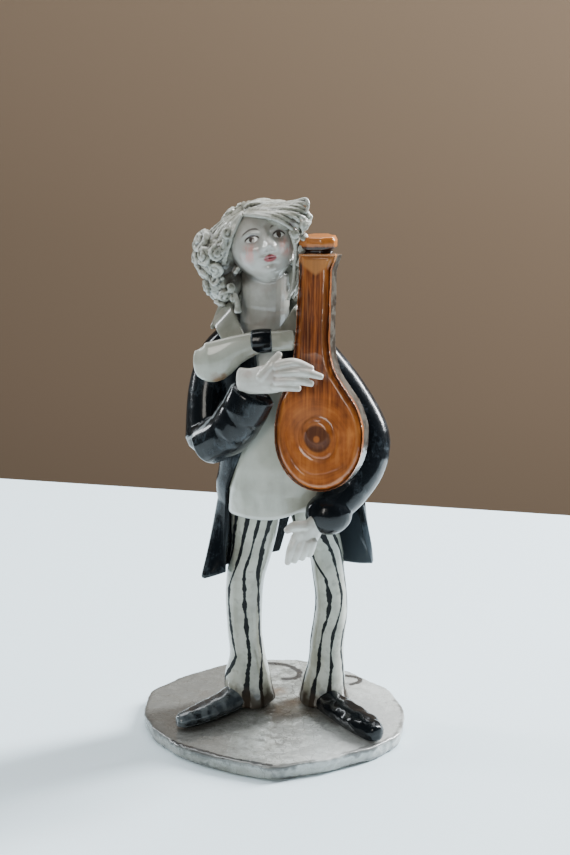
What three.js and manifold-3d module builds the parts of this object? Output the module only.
// A glazed ceramic figurine of a musician in a tailcoat and striped trousers, who leans a long-necked
// lute against the chest. It is modelled in millimetres, +Z up, and it faces -Y. The origin is on the
// underside of the slab that it stands on. Left and right are the viewer's, seen from the front.
import * as THREE from "three";
import { mergeVertices } from "three/addons/utils/BufferGeometryUtils.js";
import Module from "manifold-3d";

const wasm = await Module();
wasm.setup();

// Driving sizes
const BASE_THICK = 6;
const BASE_BEVEL = 1.2;
const CLEARANCE = 0.3;
const COAT_THICK = 2.2;
const COLLAR_THICK = 1.6;
const SHIRT_THICK = 2.2;
const LUTE_THICK = 8;

// Colours of the glazes
const SLIP_WHITE = 0xd9d8cf;
const LUTE_BROWN = 0x9a4f1c;
const SLAB_GREY = 0xcfccc2;

const UP = new THREE.Vector3(0, 0, 1);
const ACROSS = new THREE.Vector3(1, 0, 0);
const BACK = new THREE.Vector3(0, 1, 0);

const point = (p) => new THREE.Vector3(p[0], p[1], p[2]);
const mix = THREE.MathUtils.lerp;
const smooth = THREE.MathUtils.smoothstep;
const radians = THREE.MathUtils.degToRad;

// A three.js geometry as a solid that can be joined and cut.
function solidOf(geometry) {
  const bare = geometry.clone();
  bare.deleteAttribute("normal");
  bare.deleteAttribute("uv");
  const merged = mergeVertices(bare, 1e-4);
  const mesh = new wasm.Mesh({
    numProp: 3,
    vertProperties: new Float32Array(merged.attributes.position.array),
    triVerts: new Uint32Array(merged.index.array),
  });
  return new wasm.Manifold(mesh);
}

// A solid as a three.js geometry.
function geometryOf(solid) {
  const mesh = solid.getMesh();
  const geometry = new THREE.BufferGeometry();
  const count = mesh.numVert;
  const places = new Float32Array(count * 3);
  for (let i = 0; i < count; i++) {
    places.set(mesh.vertProperties.subarray(i * mesh.numProp, i * mesh.numProp + 3), i * 3);
  }
  geometry.setAttribute("position", new THREE.BufferAttribute(places, 3));
  geometry.setIndex(new THREE.BufferAttribute(new Uint32Array(mesh.triVerts), 1));
  geometry.computeVertexNormals();
  return geometry;
}

function joined(solids) {
  return solids.reduce((all, one) => all.add(one));
}

function indexed(points, faces) {
  const geometry = new THREE.BufferGeometry().setFromPoints(points);
  geometry.setIndex(faces.flat());
  return solidOf(geometry);
}

// A closed skin over rings that all have the same number of points, with a flat fan on each end.
function skin(rings) {
  const sides = rings[0].length;
  const points = rings.flat();
  const faces = [];
  for (let i = 0; i + 1 < rings.length; i++) {
    for (let j = 0; j < sides; j++) {
      const a = i * sides + j;
      const b = i * sides + ((j + 1) % sides);
      faces.push([a, b, b + sides], [a, b + sides, a + sides]);
    }
  }
  const middle = (ring) =>
    ring.reduce((sum, p) => sum.add(p), new THREE.Vector3()).divideScalar(sides);
  const first = points.push(middle(rings[0])) - 1;
  const last = points.push(middle(rings.at(-1))) - 1;
  const top = (rings.length - 1) * sides;
  for (let j = 0; j < sides; j++) {
    const next = (j + 1) % sides;
    faces.push([first, next, j], [last, top + j, top + next]);
  }
  return indexed(points, faces);
}

// A limb: an oval section swept along a smooth line. Each station is x, y, z of the line, then the
// half width, which lies towards `across`, and the half depth. Ends are rounded off.
function limb(stations, { sides = 10, steps = 10, across = ACROSS, round = 0.5 } = {}) {
  const line = new THREE.CatmullRomCurve3(stations.map(point));
  const girth = new THREE.CatmullRomCurve3(
    stations.map((s) => new THREE.Vector3(s[3], s[4], 0)),
  );
  const ringAt = (t, shift, scale) => {
    const along = line.getTangent(t);
    const centre = line.getPoint(t).addScaledVector(along, shift);
    const size = girth.getPoint(t);
    const wide = across.clone().addScaledVector(along, -across.dot(along)).normalize();
    const deep = new THREE.Vector3().crossVectors(along, wide);
    return Array.from({ length: sides }, (_, j) => {
      const a = (j / sides) * 2 * Math.PI;
      return centre
        .clone()
        .addScaledVector(wide, Math.cos(a) * size.x * scale)
        .addScaledVector(deep, Math.sin(a) * size.y * scale);
    });
  };
  const rings = [];
  const cap = (t) => round * Math.min(girth.getPoint(t).x, girth.getPoint(t).y);
  rings.push(ringAt(0, -cap(0), 0.55));
  for (let i = 0; i <= steps; i++) {
    rings.push(ringAt(i / steps, 0, 1));
  }
  rings.push(ringAt(1, cap(1), 0.55));
  return skin(rings);
}

// A sheet of rolled clay: a curved surface of u and v, both from 0 to 1, with its thickness, which
// can be bedded deeper on its inner side.
function slab(surface, uSteps, vSteps, thick, bedded = 0) {
  const near = 1e-3;
  const faces = [];
  const outer = [];
  const inner = [];
  for (let i = 0; i <= uSteps; i++) {
    for (let j = 0; j <= vSteps; j++) {
      const u = i / uSteps;
      const v = j / vSteps;
      const here = surface(u, v);
      const alongU = surface(Math.min(1, u + near), v).sub(surface(Math.max(0, u - near), v));
      const alongV = surface(u, Math.min(1, v + near)).sub(surface(u, Math.max(0, v - near)));
      const normal = alongU.cross(alongV).normalize();
      outer.push(here.clone().addScaledVector(normal, thick / 2 + bedded));
      inner.push(here.clone().addScaledVector(normal, -thick / 2));
    }
  }
  const row = vSteps + 1;
  const under = outer.length;
  const quad = (a, b, c, d) => faces.push([a, b, c], [a, c, d]);
  for (let i = 0; i < uSteps; i++) {
    for (let j = 0; j < vSteps; j++) {
      const a = i * row + j;
      quad(a, a + row, a + row + 1, a + 1);
      quad(under + a, under + a + 1, under + a + row + 1, under + a + row);
    }
    const low = i * row;
    const high = low + vSteps;
    quad(low, under + low, under + low + row, low + row);
    quad(high, high + row, under + high + row, under + high);
  }
  for (let j = 0; j < vSteps; j++) {
    const start = j;
    const end = uSteps * row + j;
    quad(start, start + 1, under + start + 1, under + start);
    quad(end, under + end, under + end + 1, end + 1);
  }
  return indexed([...outer, ...inner], faces);
}

// A value that changes evenly between the pairs of a short table of [height, value].
function along(table, height) {
  let value = table[0][1];
  for (let i = 0; i + 1 < table.length; i++) {
    const [low, from] = table[i];
    const [high, to] = table[i + 1];
    if (height > low) {
      value = mix(from, to, Math.min(1, (height - low) / (high - low)));
    }
  }
  return value;
}

// The slab that the figure stands on: an irregular cut polygon, centred on the origin in both
// directions, with a softened top edge and a foot that is drawn in a little.
const BASE_CORNERS = [
  [0.5, -46.0],
  [20.5, -39.0],
  [38.0, -29.5],
  [47.0, -18.5],
  [49.5, -2.0],
  [44.5, 16.5],
  [29.5, 32.0],
  [10.0, 43.5],
  [-12.0, 43.5],
  [-35.0, 29.5],
  [-48.0, 16.0],
  [-49.5, -0.5],
  [-45.0, -16.0],
  [-33.0, -30.0],
  [-16.0, -40.5],
];
const BASE_SHIFT = 1.25;

function base() {
  const ring = (height, inset) =>
    BASE_CORNERS.map(([x, y]) => {
      const flat = new THREE.Vector3(x, y + BASE_SHIFT, 0);
      const reach = flat.length();
      return flat.setLength(reach - inset).setZ(height);
    });
  return skin([
    ring(0, 1.0),
    ring(1.5, 0.2),
    ring(BASE_THICK - BASE_BEVEL, 0),
    ring(BASE_THICK, BASE_BEVEL),
  ]);
}

// Trousers: each leg runs from the hidden hip down to a flared hem.
const LEFT_LEG = [
  [-5.5, 4.0, 98.0, 9.5, 9.0],
  [-6.9, 5.5, 79.5, 9.0, 8.5],
  [-8.0, 6.0, 68.5, 7.7, 7.6],
  [-10.3, 6.0, 58.0, 7.1, 7.2],
  [-11.1, 6.0, 47.5, 6.9, 7.0],
  [-10.8, 6.3, 36.5, 6.5, 6.8],
  [-10.2, 6.5, 25.5, 6.8, 7.0],
  [-9.8, 6.6, 16.5, 8.8, 8.2],
  [-9.4, 6.8, 9.0, 9.6, 9.0],
];
const RIGHT_LEG = [
  [12.5, 4.5, 98.0, 9.5, 9.0],
  [15.0, 5.5, 79.0, 8.2, 8.4],
  [18.6, 6.0, 68.5, 6.4, 7.4],
  [20.0, 6.0, 58.0, 6.1, 7.0],
  [21.0, 5.8, 47.5, 6.1, 7.0],
  [20.2, 6.0, 36.5, 6.4, 6.9],
  [19.2, 6.2, 25.5, 6.6, 7.0],
  [18.8, 6.2, 16.5, 7.8, 8.0],
  [18.2, 6.0, 8.6, 9.8, 9.0],
];

// Shoes: from the heel under the hem to the toe, in plan. The left toe is pointed and the right one
// is blunt.
const LEFT_SHOE = [
  [-7.5, 9.0, 10.0, 4.6, 4.2],
  [-13.0, 4.0, 11.0, 5.4, 5.4],
  [-20.0, -3.0, 10.0, 5.0, 4.2],
  [-27.0, -9.5, 9.3, 4.6, 3.4],
  [-33.5, -14.6, 9.0, 2.8, 2.8],
];
const RIGHT_SHOE = [
  [15.5, 8.0, 10.0, 4.6, 4.2],
  [19.5, 0.5, 10.6, 5.2, 5.2],
  [25.5, -9.0, 10.2, 5.2, 4.6],
  [31.5, -18.0, 9.9, 5.4, 4.2],
  [36.0, -24.5, 9.7, 4.0, 3.8],
];

const SHOE_ACROSS = point([-1, 1, 0]);

function trousersAndShoes() {
  return [
    limb(LEFT_LEG, { sides: 10, steps: 9, round: 0.1 }),
    limb(RIGHT_LEG, { sides: 10, steps: 9, round: 0.1 }),
    limb(LEFT_SHOE, { sides: 8, steps: 6, across: SHOE_ACROSS }),
    limb(RIGHT_SHOE, { sides: 8, steps: 6, across: point([1, 1, 0]) }),
  ];
}

// The trunk, as oval sections that lean from the hips over to the shoulders.
const TRUNK_CENTRE_X = [
  [84, 4.0],
  [100, 3.0],
  [125, 0.5],
  [150, -2.0],
  [158, -3.0],
];
const TRUNK_CENTRE_Y = [
  [84, 3.0],
  [105, 1.5],
  [130, 1.5],
  [158, 1.0],
];
const TRUNK_HALF_WIDTH = [
  [84, 18.5],
  [96, 20.0],
  [112, 19.0],
  [130, 18.0],
  [144, 18.5],
  [150, 14.0],
  [155, 8.5],
  [158, 8.0],
];
const TRUNK_HALF_DEPTH = [
  [84, 12.5],
  [96, 14.5],
  [112, 13.5],
  [130, 11.5],
  [144, 10.0],
  [152, 8.0],
  [158, 7.0],
];

// A point round the trunk. The angle is in degrees from the front, by the viewer's left to the back.
function trunkPoint(angle, height, out = 0) {
  const a = radians(angle);
  return new THREE.Vector3(
    along(TRUNK_CENTRE_X, height) - Math.sin(a) * (along(TRUNK_HALF_WIDTH, height) + out),
    along(TRUNK_CENTRE_Y, height) - Math.cos(a) * (along(TRUNK_HALF_DEPTH, height) + out),
    height,
  );
}

function trunk() {
  const sides = 16;
  const heights = [88, 100, 115, 130, 141, 148, 153, 158];
  return skin(
    heights.map((height) =>
      Array.from({ length: sides }, (_, j) => trunkPoint((-j / sides) * 360, height)),
    ),
  );
}

// The coat's front edges part evenly from the chest down to the hips. The angle is from the front.
const COAT_TOP = 152;
const COAT_WAIST = 88;
const COAT_OPENING = [
  [85, 73],
  [127, 13],
];

// The long white front: a slab that follows the belly and stands off it towards its lower hem.
const FRONT_TOP = 138;
const FRONT_HEM_LEFT = 85.5;
const FRONT_HEM_RIGHT = 97;
const FRONT_TUCK = 8;

function whiteFront() {
  return slab(
    (u, v) => {
      const hem = mix(FRONT_HEM_LEFT, FRONT_HEM_RIGHT, smooth(u, 0.35, 1));
      const height = mix(FRONT_TOP, hem, v);
      const reach = along(COAT_OPENING, height) + FRONT_TUCK;
      const out = 0.4 + 1.8 * v * v;
      return trunkPoint(mix(reach, -reach, u), height, out);
    },
    7,
    5,
    SHIRT_THICK,
    2,
  );
}

function coatBody() {
  return slab(
    (u, v) => {
      const height = mix(COAT_WAIST, COAT_TOP, v);
      const open = along(COAT_OPENING, height);
      const out = mix(1.6, 0.6, v);
      return trunkPoint(mix(open, 360 - open, u), height, out);
    },
    12,
    5,
    COAT_THICK,
    4,
  );
}

// Two coat tails that hang from the hips. Each lower hem is a smooth line through four points.
const LEFT_TAIL_HEM = [
  [-24.5, -5.5, 60.0],
  [-25.5, 3.0, 61.0],
  [-15.0, 14.0, 62.0],
  [2.5, 17.0, 63.5],
];
const RIGHT_TAIL_HEM = [
  [14.5, 17.5, 62.0],
  [22.0, 17.0, 60.5],
  [30.0, 14.5, 60.0],
  [36.5, 11.0, 60.0],
];

function tail(hemPoints, fromAngle, toAngle) {
  const hem = new THREE.CatmullRomCurve3(hemPoints.map(point));
  return slab(
    (u, v) => {
      const top = trunkPoint(mix(fromAngle, toAngle, u), COAT_WAIST + 5, 1.3);
      const low = hem.getPoint(u);
      const here = top.lerp(low, v);
      return here.addScaledVector(BACK, 1.5 * Math.sin(v * Math.PI) * Math.sin(u * Math.PI));
    },
    8,
    5,
    COAT_THICK,
  );
}

// Sleeves. The left arm is bent up to the chest, so its upper and lower halves meet at the elbow.
// The right one reaches round under the lute.
const LEFT_UPPER_SLEEVE = [
  [-14.5, 3.5, 148.5, 5.6, 5.6],
  [-19.4, 2.0, 141.5, 6.8, 6.0],
  [-22.8, 0.0, 129.5, 7.2, 6.6],
  [-23.0, -5.0, 114.4, 8.0, 8.2],
];
const LEFT_LOWER_SLEEVE = [
  [-22.4, -8.0, 113.3, 8.2, 8.0],
  [-15.4, -14.4, 119.0, 8.0, 7.6],
  [-10.6, -18.2, 127.2, 7.6, 7.2],
  [-7.4, -20.5, 135.0, 7.2, 6.6],
];
const RIGHT_SLEEVE = [
  [11.0, 5.0, 148.5, 5.6, 5.4],
  [17.0, 4.6, 140.0, 6.8, 6.2],
  [26.6, 3.0, 127.0, 7.2, 6.8],
  [33.6, 0.0, 113.5, 7.4, 7.4],
  [32.0, -5.0, 104.5, 7.6, 7.4],
  [26.2, -11.0, 97.6, 7.8, 7.8],
  [18.4, -16.5, 91.6, 7.6, 9.2],
];

// Hands. Each finger and thumb runs from its knuckle to its tip.
const LEFT_PALM = [
  [-11.0, -21.5, 139.8, 4.6, 2.2],
  [-6.5, -23.5, 140.2, 4.6, 2.3],
  [0.0, -26.0, 142.0, 5.2, 2.1],
  [4.0, -27.0, 143.0, 4.4, 1.8],
];
const LEFT_FINGERS = [
  [[1.0, -26.8, 146.3], [7.0, -28.0, 147.8], [13.0, -28.8, 146.0]],
  [[1.5, -27.2, 144.0], [9.0, -29.2, 145.2], [16.2, -29.8, 143.5]],
  [[1.0, -27.2, 141.6], [8.0, -29.0, 142.2], [13.0, -29.6, 141.0]],
  [[0.0, -26.6, 139.4], [5.0, -27.8, 139.6], [8.8, -28.4, 139.0]],
];
const LEFT_THUMB = [[-4.0, -25.4, 142.0], [-0.5, -26.0, 146.5], [2.2, -25.0, 150.2]];
const RIGHT_PALM = [
  [18.8, -17.0, 93.6, 4.6, 3.0],
  [14.5, -21.5, 88.6, 5.0, 2.2],
  [10.5, -23.0, 83.5, 4.9, 2.0],
  [9.0, -23.3, 81.0, 4.4, 1.7],
];
const RIGHT_FINGERS = [
  [[8.2, -23.0, 84.0], [6.2, -24.2, 79.5], [4.8, -24.6, 74.6]],
  [[10.0, -23.2, 82.8], [8.4, -24.2, 79.0], [7.2, -24.4, 75.2]],
  [[11.8, -23.0, 82.0], [10.8, -23.8, 79.0], [9.8, -24.0, 76.0]],
  [[13.4, -22.6, 82.2], [12.8, -23.2, 79.6], [12.4, -23.4, 77.0]],
];
const RIGHT_THUMB = [[11.0, -22.6, 87.6], [7.0, -23.6, 87.8], [4.4, -24.0, 86.4]];
const FINGER_RADIUS = 1.75;
const THUMB_RADIUS = 1.9;

function digit(line, radius) {
  const taper = [1.1, 1, 0.62];
  const stations = line.map((p, i) => [...p, radius * taper[i], radius * taper[i]]);
  return limb(stations, { sides: 5, steps: 3, across: BACK });
}

function hand(palm, fingers, thumb) {
  return [
    limb(palm, { sides: 8, steps: 4, across: UP }),
    ...fingers.map((line) => digit(line, FINGER_RADIUS)),
    digit(thumb, THUMB_RADIUS),
  ];
}

function arms() {
  const sleeve = (stations, steps, round) => limb(stations, { sides: 10, steps, across: BACK, round });
  return [
    sleeve(LEFT_UPPER_SLEEVE, 5, 0.75),
    sleeve(LEFT_LOWER_SLEEVE, 5, 0.5),
    sleeve(RIGHT_SLEEVE, 9, 0.15),
    ...hand(LEFT_PALM, LEFT_FINGERS, LEFT_THUMB),
    ...hand(RIGHT_PALM, RIGHT_FINGERS, RIGHT_THUMB),
  ];
}

// The neck, the open collar's two wings and the wide bow with its dark knot.
const NECK = [
  [-4.2, 1.0, 146.0, 9.6, 8.0],
  [-3.2, 0.5, 154.0, 8.7, 7.6],
  [-2.7, 0.5, 162.0, 8.4, 7.6],
  [-2.6, 1.5, 172.0, 8.8, 8.2],
];
const BOW_LEFT = [
  [-5.5, -13.4, 151.0, 3.9, 2.4],
  [-13.0, -14.0, 148.3, 5.2, 2.4],
  [-21.0, -13.6, 144.2, 7.1, 2.8],
  [-26.4, -12.6, 143.8, 4.0, 1.8],
];
const BOW_RIGHT = [
  [-3.0, -13.6, 151.4, 3.7, 2.4],
  [2.5, -14.2, 151.7, 3.7, 2.2],
  [6.6, -14.0, 151.8, 3.6, 1.4],
];
const BOW_KNOT = [
  [-7.2, -12.4, 151.2, 3.7, 4.6],
  [-3.8, -12.4, 151.4, 4.3, 5.4],
  [-0.6, -12.4, 151.5, 3.9, 4.6],
];

// One wing of the collar: a slab between an upper edge by the neck and a lower edge on the shoulder.
function collarWing(upper, lower) {
  const high = new THREE.CatmullRomCurve3(upper.map(point));
  const low = new THREE.CatmullRomCurve3(lower.map(point));
  return slab((u, v) => high.getPoint(u).lerp(low.getPoint(u), v), 5, 2, COLLAR_THICK);
}

function neckwear() {
  return [
    limb(NECK, { sides: 12, steps: 3 }),
    limb(BOW_LEFT, { sides: 8, steps: 6, across: UP }),
    limb(BOW_RIGHT, { sides: 8, steps: 3, across: UP }),
    limb(BOW_KNOT, { sides: 8, steps: 3, across: UP, round: 0.2 }),
    collarWing(
      [[-6.0, 9.0, 160.0], [-14.0, 3.0, 162.0], [-13.6, -6.0, 161.0], [-9.5, -13.0, 153.0]],
      [[-6.0, 12.0, 152.0], [-19.0, 6.0, 154.0], [-20.2, -5.0, 154.7], [-16.5, -12.0, 149.5]],
    ),
    collarWing(
      [[0.5, -13.0, 153.5], [7.0, -6.5, 161.5], [8.5, 3.0, 162.0], [-1.0, 9.0, 160.0]],
      [[5.5, -13.5, 149.5], [11.8, -7.0, 156.5], [14.0, 4.0, 154.0], [-1.0, 12.0, 152.0]],
    ),
    collarWing(
      [[9.0, 11.0, 161.0], [-4.0, 13.0, 162.5], [-15.5, 6.5, 163.0], [-17.6, 1.5, 161.5]],
      [[12.0, 10.0, 150.0], [-4.0, 13.0, 150.0], [-18.5, 6.0, 151.0], [-21.6, 0.5, 152.0]],
    ),
  ];
}

// The head leans back and over to the viewer's left. Its face is a calm one of even proportions.
const HEAD_CENTRE = [-3.9, -1.0, 182.6];
const HEAD_HALF = [11.4, 11.8, 14.0];
const HEAD_LEAN_BACK = 22;
const HEAD_ROLL = 9;
const HEAD_TURN = 12;

const headFrame = new THREE.Matrix4()
  .makeTranslation(...HEAD_CENTRE)
  .multiply(new THREE.Matrix4().makeRotationZ(radians(HEAD_TURN)))
  .multiply(new THREE.Matrix4().makeRotationY(radians(-HEAD_ROLL)))
  .multiply(new THREE.Matrix4().makeRotationX(radians(-HEAD_LEAN_BACK)));

// Soft rises and hollows of the face: x and z as shares of the half width and half height, their
// reach in x and z, and how far they stand out in millimetres.
const EYE_X = 0.4;
const FACE_FORMS = [
  [0, 0.02, 0.13, 0.16, 1.3],
  [0, -0.16, 0.13, 0.14, 2.3],
  [0, -0.27, 0.17, 0.09, 2.7],
  [-EYE_X, 0.02, 0.2, 0.1, -1.3],
  [EYE_X, 0.02, 0.2, 0.1, -1.3],
  [-EYE_X, 0.17, 0.3, 0.07, 0.5],
  [EYE_X, 0.17, 0.3, 0.07, 0.5],
  [-0.5, -0.24, 0.24, 0.16, 0.7],
  [0.5, -0.24, 0.24, 0.16, 0.7],
  [0, -0.5, 0.26, 0.08, 1.2],
  [0, -0.62, 0.26, 0.05, -0.5],
  [0, -0.8, 0.24, 0.13, 1.5],
];

function headSurface(direction) {
  const [a, b, c] = HEAD_HALF;
  const low = Math.max(0, -direction.z);
  const jaw = 1 - 0.26 * low * low;
  const p = new THREE.Vector3(direction.x * a * jaw, direction.y * b, direction.z * c);
  const facing = smooth(-direction.y, 0.1, 0.6);
  const x = p.x / a;
  const z = p.z / c;
  for (const [fx, fz, rx, rz, rise] of FACE_FORMS) {
    const fall = Math.exp(-(((x - fx) / rx) ** 2) - ((z - fz) / rz) ** 2);
    p.y -= rise * fall * facing;
  }
  return p;
}

function head() {
  const ball = new THREE.SphereGeometry(1, 22, 16);
  ball.rotateX(Math.PI / 2);
  const places = ball.getAttribute("position");
  for (let i = 0; i < places.count; i++) {
    const p = headSurface(new THREE.Vector3().fromBufferAttribute(places, i));
    places.setXYZ(i, p.x, p.y, p.z);
  }
  ball.applyMatrix4(headFrame);
  return solidOf(ball);
}

// Hair: soft masses that carry the curls, then the curls, and locks that sweep off the parting.
const HAIR_MASSES = {
  crown: { centre: [-4.8, 5.0, 182.6], half: [12.2, 11.2, 12.0], lumps: 5 },
  bunch: { centre: [-18.8, 0.5, 178.2], half: [7.2, 8.2, 8.8], lumps: 3 },
  tuft: { centre: [-16.8, 0.5, 169.2], half: [6.2, 7.0, 7.6], lumps: 3 },
  nape: { centre: [4.6, 5.0, 171.5], half: [6.0, 6.8, 10.5], lumps: 3 },
  quiffBed: { centre: [3.6, -4.5, 192.6], half: [8.6, 7.0, 5.0], lumps: 0 },
};
const LUMP_RISE = 0.09;
const CURL_ROLL = 0.45;
const CURL_SWEEP = 290;

// A mass is an oval with rows of soft lumps, which stagger from row to row like tight curls.
function mass({ centre, half, lumps }) {
  const ball = new THREE.SphereGeometry(1, 3 * Math.max(3, lumps), 8);
  ball.rotateX(Math.PI / 2);
  const places = ball.getAttribute("position");
  for (let i = 0; i < places.count; i++) {
    const p = new THREE.Vector3().fromBufferAttribute(places, i);
    const row = Math.round(2 * p.z);
    const around = Math.atan2(p.y, p.x) * lumps + row * Math.PI;
    const rise = lumps ? LUMP_RISE * Math.cos(around) * (1 - p.z * p.z) : 0;
    p.multiplyScalar(1 + rise);
    places.setXYZ(i, p.x, p.y, p.z);
  }
  ball.scale(...half);
  ball.translate(...centre);
  return solidOf(ball);
}

// A curl lies flat on a mass: a tapering roll round most of a circle.
function curl(centre, outward, turn, size) {
  const side = new THREE.Vector3().crossVectors(UP, outward).normalize();
  const rise = new THREE.Vector3().crossVectors(outward, side);
  const bends = 3;
  const stations = Array.from({ length: bends + 1 }, (_, i) => {
    const t = i / bends;
    const a = radians(turn + CURL_SWEEP * t);
    const reach = size * mix(0.6, 0.3, t);
    const p = centre
      .clone()
      .addScaledVector(side, Math.cos(a) * reach)
      .addScaledVector(rise, Math.sin(a) * reach)
      .addScaledVector(outward, 0.2 * size * t);
    const roll = CURL_ROLL * size * mix(1, 0.7, t);
    return [p.x, p.y, p.z, roll, roll];
  });
  return limb(stations, { sides: 5, steps: 4, across: outward });
}

// A row of curls on a mass, between two azimuths in degrees from the front by the viewer's left.
function curlRow({ centre, half }, height, fromAngle, toAngle, count, size) {
  return Array.from({ length: count }, (_, i) => {
    const a = radians(count > 1 ? mix(fromAngle, toAngle, i / (count - 1)) : fromAngle);
    const level = Math.sqrt(1 - height * height);
    const outward = new THREE.Vector3(-Math.sin(a) * level, -Math.cos(a) * level, height);
    const p = point(centre).add(outward.clone().multiply(point(half)));
    return curl(p, outward, 140 * i + 70 * height, size);
  });
}

// A fan of locks: each one is a blend between the first lock's and the last lock's stations.
function fan(first, last, count) {
  return Array.from({ length: count }, (_, i) => {
    const t = count > 1 ? i / (count - 1) : 0;
    const stations = first.map((from, k) => from.map((value, n) => mix(value, last[k][n], t)));
    return limb(stations, { sides: 5, steps: 5, across: BACK });
  });
}

// The quiff sweeps from the parting over the brow and fans out into blunt tips.
const QUIFF_TOP = [
  [-7.0, 0.0, 195.0, 1.5, 1.5],
  [2.0, -5.0, 197.0, 2.0, 1.8],
  [7.5, -7.0, 198.6, 1.9, 1.6],
  [10.2, -8.0, 199.0, 1.3, 1.2],
];
const QUIFF_MIDDLE = [
  [-8.4, -3.5, 194.2, 1.6, 1.6],
  [1.0, -9.5, 195.6, 2.0, 1.8],
  [9.0, -10.0, 195.4, 1.9, 1.8],
  [12.2, -9.5, 191.8, 1.3, 1.4],
];
const QUIFF_LOW = [
  [-9.4, -6.5, 193.6, 1.5, 1.5],
  [-2.0, -12.4, 193.4, 1.8, 1.8],
  [4.6, -12.8, 190.2, 1.8, 1.8],
  [7.6, -11.0, 185.6, 1.2, 1.4],
];
const SIDE_SWEEP_BACK = [
  [-8.0, 1.0, 193.6, 1.8, 1.6],
  [-16.0, 1.0, 190.6, 2.6, 2.4],
  [-22.6, 0.5, 184.6, 2.2, 2.2],
];
const SIDE_SWEEP_FRONT = [
  [-10.4, -6.0, 193.6, 1.6, 1.6],
  [-14.8, -6.4, 189.0, 2.2, 2.4],
  [-17.4, -6.0, 181.6, 1.8, 2.0],
];
const TEMPLE_FRONT = [
  [5.0, -9.0, 187.0, 1.3, 1.6],
  [6.4, -7.0, 178.0, 1.6, 2.0],
  [5.0, -6.0, 166.5, 1.4, 1.4],
];
const TEMPLE_BACK = [
  [6.4, -3.0, 189.0, 1.8, 2.2],
  [8.6, -2.0, 178.0, 2.0, 2.4],
  [7.6, -2.0, 165.0, 1.6, 1.8],
];

function hair() {
  const { crown, bunch } = HAIR_MASSES;
  return [
    ...Object.values(HAIR_MASSES).map(mass),
    ...fan(QUIFF_TOP, QUIFF_MIDDLE, 3),
    ...fan(QUIFF_MIDDLE, QUIFF_LOW, 3).slice(1),
    ...fan(SIDE_SWEEP_BACK, SIDE_SWEEP_FRONT, 3),
    ...fan(TEMPLE_FRONT, TEMPLE_BACK, 2),
    ...curlRow(bunch, 0.2, 5, 100, 2, 5.4),
    ...curlRow(bunch, -0.4, -10, 110, 3, 5.0),
    ...curlRow(crown, 0.45, 180, 180, 1, 6.6),
    ...curlRow(crown, -0.3, 150, 210, 2, 6.4),
  ];
}

// The lute: one thick slab cut to a pear with a long neck, standing on edge against the belly. It is
// turned to the viewer's left and leans back. Its own frame has x across the face and z up the neck.
const LUTE_PLACE = [15.0, -24.5, 120.0];
const LUTE_TURN = -20;
const LUTE_LEAN = -11;
const LUTE_BODY_HALF = 15.8;
const LUTE_BODY_DROP = 18.2;
const LUTE_SHOULDER = [
  [15.6, 5.0],
  [13.9, 11.5],
  [10.6, 17.5],
  [7.6, 23.5],
  [6.2, 31.0],
  [5.8, 42.0],
  [5.6, 57.0],
];
const LUTE_NECK_TOP = 62.6;
const NECK_FLARE = 6.2;
const LUTE_BEVEL = 0.9;
const NECK_FOOT = 30;
const NECK_SHIFT = -2.4;
const CAP_SHIFT = -1.0;

// The neck isn't centred on the body: it stands off to the viewer's left, less so towards its top.
function luteShift(height) {
  const climb = Math.max(0, (height - NECK_FOOT) / (LUTE_NECK_TOP - NECK_FOOT));
  return smooth(height, 4, NECK_FOOT) * mix(NECK_SHIFT, CAP_SHIFT, climb);
}

const luteFrame = new THREE.Matrix4()
  .makeTranslation(...LUTE_PLACE)
  .multiply(new THREE.Matrix4().makeRotationX(radians(LUTE_LEAN)))
  .multiply(new THREE.Matrix4().makeRotationZ(radians(LUTE_TURN)));

// The pear outline: half an oval below, then the shoulders and the neck, drawn on both sides.
const OVAL_STEPS = 10;
const SHOULDER_STEPS = 8;

function luteShape(grow) {
  const half = LUTE_BODY_HALF + grow;
  const drop = LUTE_BODY_DROP + grow;
  const shoulder = (way) => {
    const line = LUTE_SHOULDER.map(([x, z]) => new THREE.Vector2(luteShift(z) + way * (x + grow), z));
    const curve = new THREE.SplineCurve([new THREE.Vector2(way * half, 0), ...line]);
    return curve.getPoints(SHOULDER_STEPS);
  };
  const neck = (way) => {
    const top = LUTE_NECK_TOP + grow;
    return new THREE.Vector2(luteShift(top) + way * (NECK_FLARE + grow), top);
  };
  const oval = Array.from({ length: OVAL_STEPS - 1 }, (_, i) => {
    const a = Math.PI * (1 + (i + 1) / OVAL_STEPS);
    return new THREE.Vector2(half * Math.cos(a), drop * Math.sin(a));
  });
  return new THREE.Shape([...shoulder(1), neck(1), neck(-1), ...shoulder(-1).reverse(), ...oval]);
}

function luteBody(grow) {
  const geometry = new THREE.ExtrudeGeometry(luteShape(grow - LUTE_BEVEL), {
    depth: LUTE_THICK - 2 * LUTE_BEVEL + 2 * grow,
    bevelEnabled: true,
    bevelThickness: LUTE_BEVEL,
    bevelSize: LUTE_BEVEL,
    bevelSegments: 1,
    curveSegments: 2,
  });
  // The shape is drawn in x and y and extruded along z: turned, it stands up with its back at +Y.
  geometry.translate(0, 0, LUTE_BEVEL - grow - LUTE_THICK);
  geometry.rotateX(Math.PI / 2);
  return solidOf(geometry);
}

// The head above the neck: a narrow throat and an eight-sided cap with softened edges. It stands
// upright although the neck leans. The pairs are half width and height above the neck's top.
const CAP_PROFILE = [
  [0, -6.0],
  [5.6, -6.0],
  [5.6, 1.4],
  [6.3, 1.9],
  [6.9, 4.6],
  [5.9, 6.0],
  [0, 6.2],
];
const CAP_DEPTH = 0.66;

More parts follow.
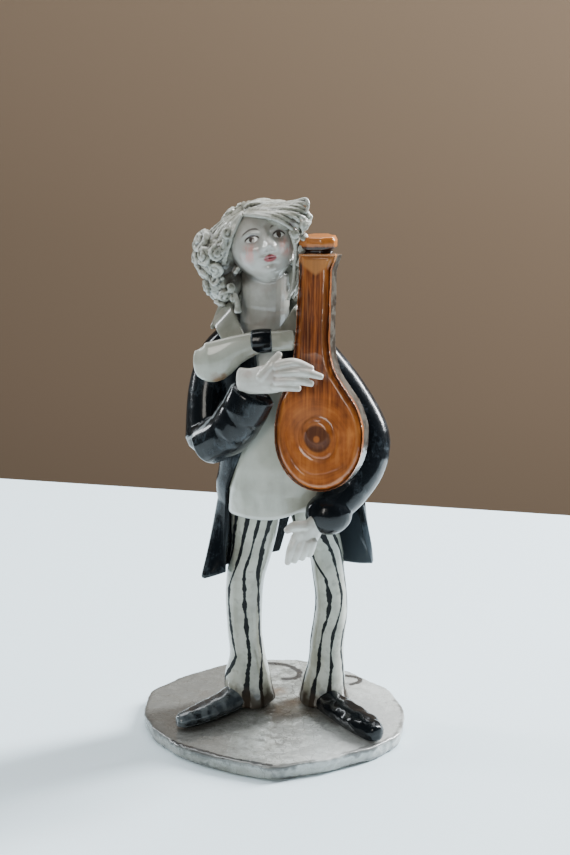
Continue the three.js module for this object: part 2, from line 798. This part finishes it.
function luteHead(grow) {
  const profile = CAP_PROFILE.map(([r, z], i) => {
    const way = i < CAP_PROFILE.length / 2 ? -1 : 1;
    return new THREE.Vector2(r && r + grow, z + way * grow);
  });
  const turned = new THREE.LatheGeometry(profile, 8);
  turned.rotateY(Math.PI / 8);
  turned.rotateX(Math.PI / 2);
  turned.scale(1, CAP_DEPTH, 1);
  turned.rotateX(radians(-LUTE_LEAN));
  turned.translate(CAP_SHIFT, LUTE_THICK / 2, LUTE_NECK_TOP);
  return solidOf(turned);
}

// The round boss on the face: a ring about a dished middle with a small bead.
const BOSS_RISE = 2.2;
const BOSS_PROFILE = [
  [0, -1.0],
  [4.8, -1.0],
  [4.8, 0.2],
  [4.2, 1.2],
  [3.2, 1.3],
  [2.3, 0.4],
  [1.4, 0.2],
  [0.8, 1.0],
  [0, 1.3],
];

function boss() {
  const profile = BOSS_PROFILE.map(([r, out]) => new THREE.Vector2(r, out));
  const turned = new THREE.LatheGeometry(profile, 14);
  turned.rotateX(Math.PI);
  turned.translate(0, 0, BOSS_RISE);
  return solidOf(turned);
}

function lute() {
  return joined([luteBody(0), luteHead(0), boss()]);
}

// The whole figure, trimmed clear of the slab and of the lute.
function musician(luteRoom) {
  const whole = joined([
    ...trousersAndShoes(),
    trunk(),
    whiteFront(),
    coatBody(),
    tail(LEFT_TAIL_HEM, 74, 185),
    tail(RIGHT_TAIL_HEM, 205, 278),
    ...arms(),
    ...neckwear(),
    head(),
    ...hair(),
  ]);
  const below = new THREE.BoxGeometry(200, 200, 40);
  below.translate(0, 0, BASE_THICK + CLEARANCE - 20);
  return whole.subtract(solidOf(below)).subtract(luteRoom);
}

function placed(name, solid, colour, roughness) {
  const material = new THREE.MeshStandardMaterial({ color: colour, roughness, metalness: 0 });
  const mesh = new THREE.Mesh(geometryOf(solid), material);
  mesh.name = name;
  return mesh;
}

const figurine = new THREE.Group();

const slabMesh = placed("base_slab", base(), SLAB_GREY, 0.35);
figurine.add(slabMesh);

const luteHolder = new THREE.Group();
luteHolder.applyMatrix4(luteFrame);
luteHolder.add(placed("lute", lute(), LUTE_BROWN, 0.15));
figurine.add(luteHolder);

const room = luteBody(CLEARANCE).add(luteHead(CLEARANCE)).transform(luteFrame.elements);
figurine.add(placed("musician", musician(room), SLIP_WHITE, 0.2));

export default figurine;
